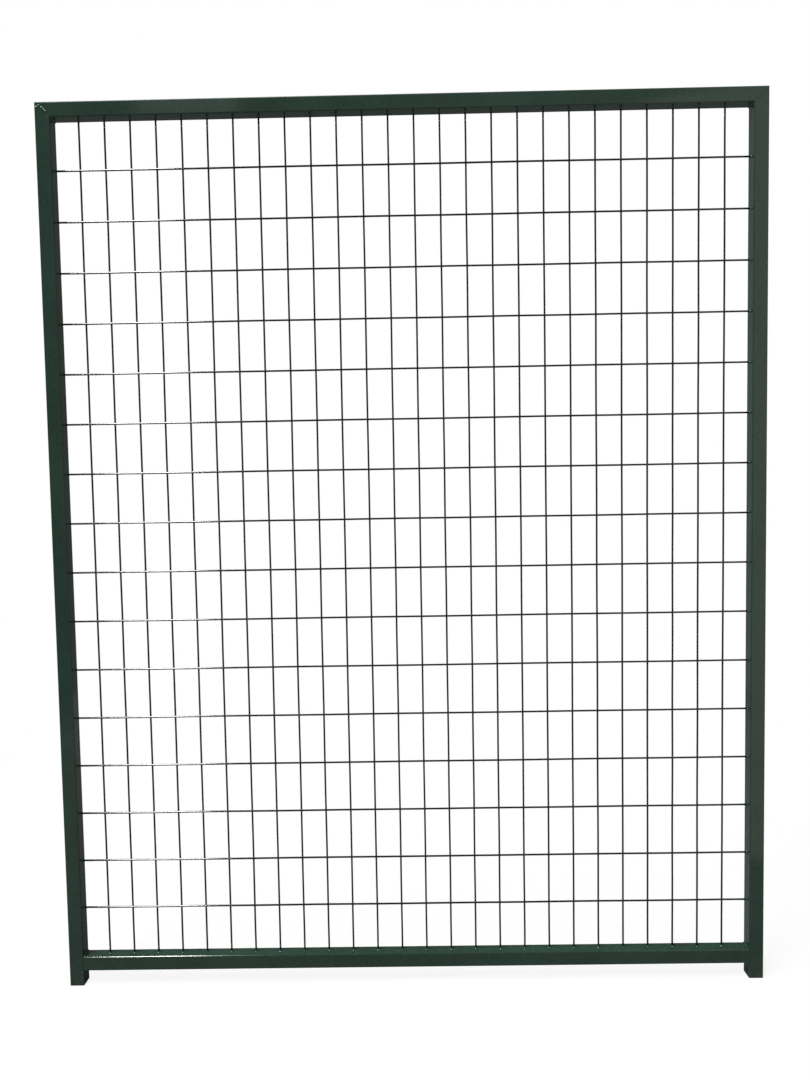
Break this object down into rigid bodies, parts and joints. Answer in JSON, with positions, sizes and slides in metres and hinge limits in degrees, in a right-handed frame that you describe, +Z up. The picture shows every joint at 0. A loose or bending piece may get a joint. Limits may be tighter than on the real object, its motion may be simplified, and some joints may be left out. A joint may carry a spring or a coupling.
{
  "type": "kennel panel",
  "caption": "Welded kennel wall panel: a dark green square-tube frame on short legs, filled with rectangular welded wire mesh.",
  "frame": {"origin": "on the floor under the panel, midway between the legs and midway through the tube's depth", "axes": "+X along the rails to the right as seen from the front, +Y from front to back, +Z up"},
  "size_m": [1.46, 0.0316, 1.8192],
  "materials": {
    "tube_coat": "dark green powder coat, satin, faint orange peel",
    "wire_coat": "near-black green powder coat on drawn wire, satin to glossy",
    "weld_coat": "dark green powder coat over weld beads"
  },
  "bodies": {
    "root": {"left_post": "tube_coat", "right_post": "tube_coat", "top_rail": "tube_coat", "bottom_rail": "tube_coat", "top_left_corner_weld": "weld_coat", "top_right_corner_weld": "weld_coat", "bottom_left_corner_weld": "weld_coat", "bottom_right_corner_weld": "weld_coat", "top_wire_welds": "weld_coat", "bottom_wire_welds": "weld_coat", "left_wire_welds": "weld_coat", "right_wire_welds": "weld_coat", "upright_wire_01": "wire_coat", "upright_wire_02": "wire_coat", "upright_wire_03": "wire_coat", "upright_wire_04": "wire_coat", "upright_wire_05": "wire_coat", "upright_wire_06": "wire_coat", "upright_wire_07": "wire_coat", "upright_wire_08": "wire_coat", "upright_wire_09": "wire_coat", "upright_wire_10": "wire_coat", "upright_wire_11": "wire_coat", "upright_wire_12": "wire_coat", "upright_wire_13": "wire_coat", "upright_wire_14": "wire_coat", "upright_wire_15": "wire_coat", "upright_wire_16": "wire_coat", "upright_wire_17": "wire_coat", "upright_wire_18": "wire_coat", "upright_wire_19": "wire_coat", "upright_wire_20": "wire_coat", "upright_wire_21": "wire_coat", "upright_wire_22": "wire_coat", "upright_wire_23": "wire_coat", "upright_wire_24": "wire_coat", "upright_wire_25": "wire_coat", "upright_wire_26": "wire_coat", "cross_wire_01": "wire_coat", "cross_wire_02": "wire_coat", "cross_wire_03": "wire_coat", "cross_wire_04": "wire_coat", "cross_wire_05": "wire_coat", "cross_wire_06": "wire_coat", "cross_wire_07": "wire_coat", "cross_wire_08": "wire_coat", "cross_wire_09": "wire_coat", "cross_wire_10": "wire_coat", "cross_wire_11": "wire_coat", "cross_wire_12": "wire_coat", "cross_wire_13": "wire_coat", "cross_wire_14": "wire_coat", "cross_wire_15": "wire_coat", "cross_wire_16": "wire_coat"}
  },
  "joints": []
}
